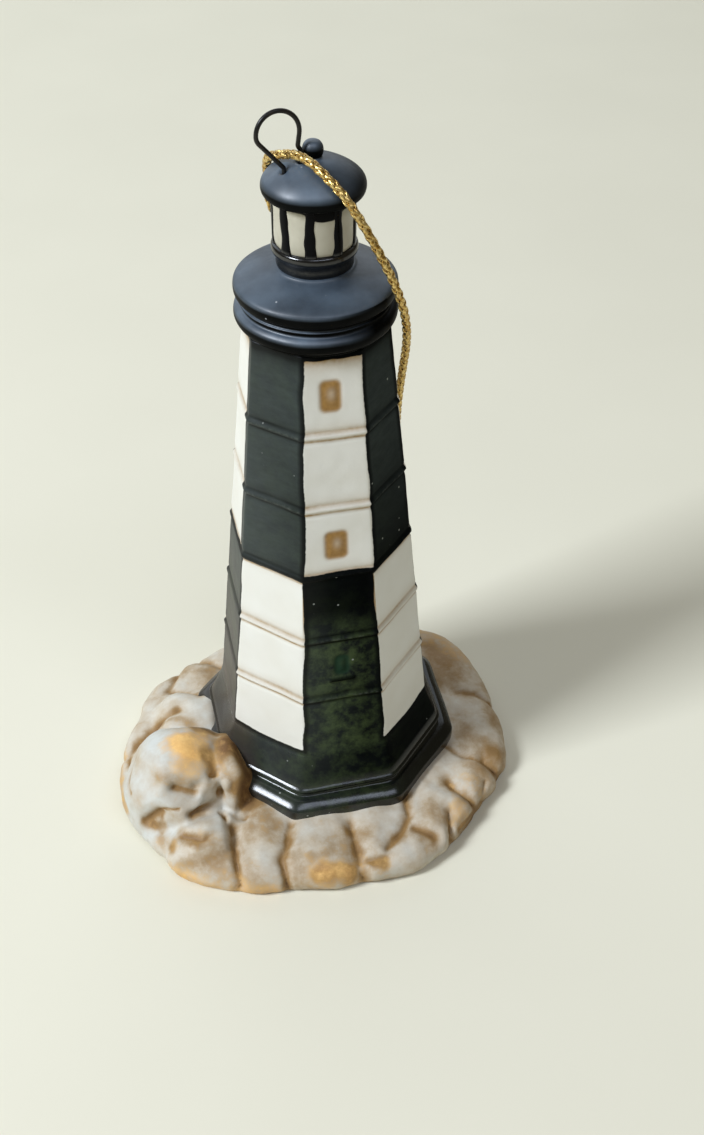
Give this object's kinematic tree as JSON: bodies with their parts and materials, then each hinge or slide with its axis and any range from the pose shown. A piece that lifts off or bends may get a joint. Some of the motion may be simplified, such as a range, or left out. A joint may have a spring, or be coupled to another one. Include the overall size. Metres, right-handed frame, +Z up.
{
  "type": "hanging lighthouse ornament",
  "caption": "Octagonal bisque lighthouse on a rock base, with gallery, lantern, domed roof, a wire eye in the roof and a braided cord loop to hang it by.",
  "frame": {"origin": "on the tower's axis, on the flat underside of the rock base", "axes": "+Z up along the tower's axis, -Y out of the face with the windows, +X to the right of that face"},
  "size_m": [0.0561, 0.0485, 0.0966],
  "materials": {
    "rock_bisque": "matte bisque with an ochre wash",
    "tower_bisque": "matte bisque with painted black panels",
    "black_bisque": "satin black paint on bisque",
    "black_wire": "satin black",
    "cement": "matte",
    "gold_cord": "metallic gold braid"
  },
  "bodies": {
    "root": {"rock_base": "rock_bisque", "tower_shaft": "tower_bisque", "gallery": "black_bisque", "lantern_room": "black_bisque", "lantern_roof": "black_bisque", "ball_finial": "black_bisque", "hanger_wire": "black_wire", "hanger_cement": "cement", "hanging_cord": "gold_cord", "cord_knot": "gold_cord"}
  },
  "joints": []
}
